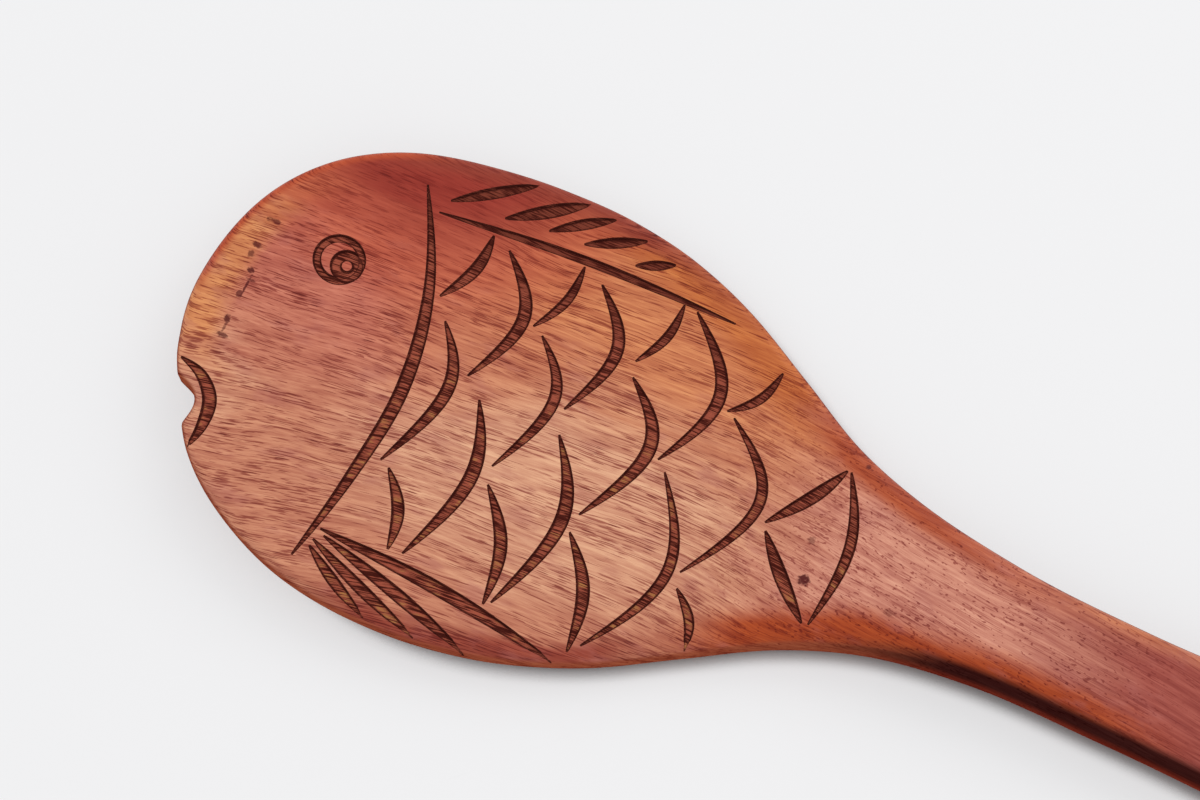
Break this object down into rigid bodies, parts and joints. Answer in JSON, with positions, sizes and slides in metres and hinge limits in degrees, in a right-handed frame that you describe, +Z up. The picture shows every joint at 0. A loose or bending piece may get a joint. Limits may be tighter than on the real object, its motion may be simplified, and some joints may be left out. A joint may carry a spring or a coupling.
{
  "type": "serving spoon",
  "caption": "Flat wooden rice spoon cut in the shape of a fish, with burnt carved lines for the eye, mouth, gill, scales and fins, and a plain rounded handle.",
  "frame": {"origin": "centre of the bounding box at its bottom: on the table, halfway between the fish's nose and the handle's end", "axes": "+X along the spoon from the fish's nose to the handle's end, +Y across it toward the fish's back, +Z up out of the carved face"},
  "size_m": [0.205, 0.0651, 0.0093],
  "materials": {
    "oiled_wood": "reddish brown hardwood, thin satin lacquer",
    "burnt_wood": "scorched dark brown, lacquered"
  },
  "bodies": {
    "root": {"paddle": "oiled_wood", "eye_burn": "burnt_wood", "mouth_burn": "burnt_wood", "gill_burn": "burnt_wood", "back_fin_burn": "burnt_wood", "scale_burn": "burnt_wood", "belly_fin_burn": "burnt_wood", "tail_burn": "burnt_wood"}
  },
  "joints": []
}
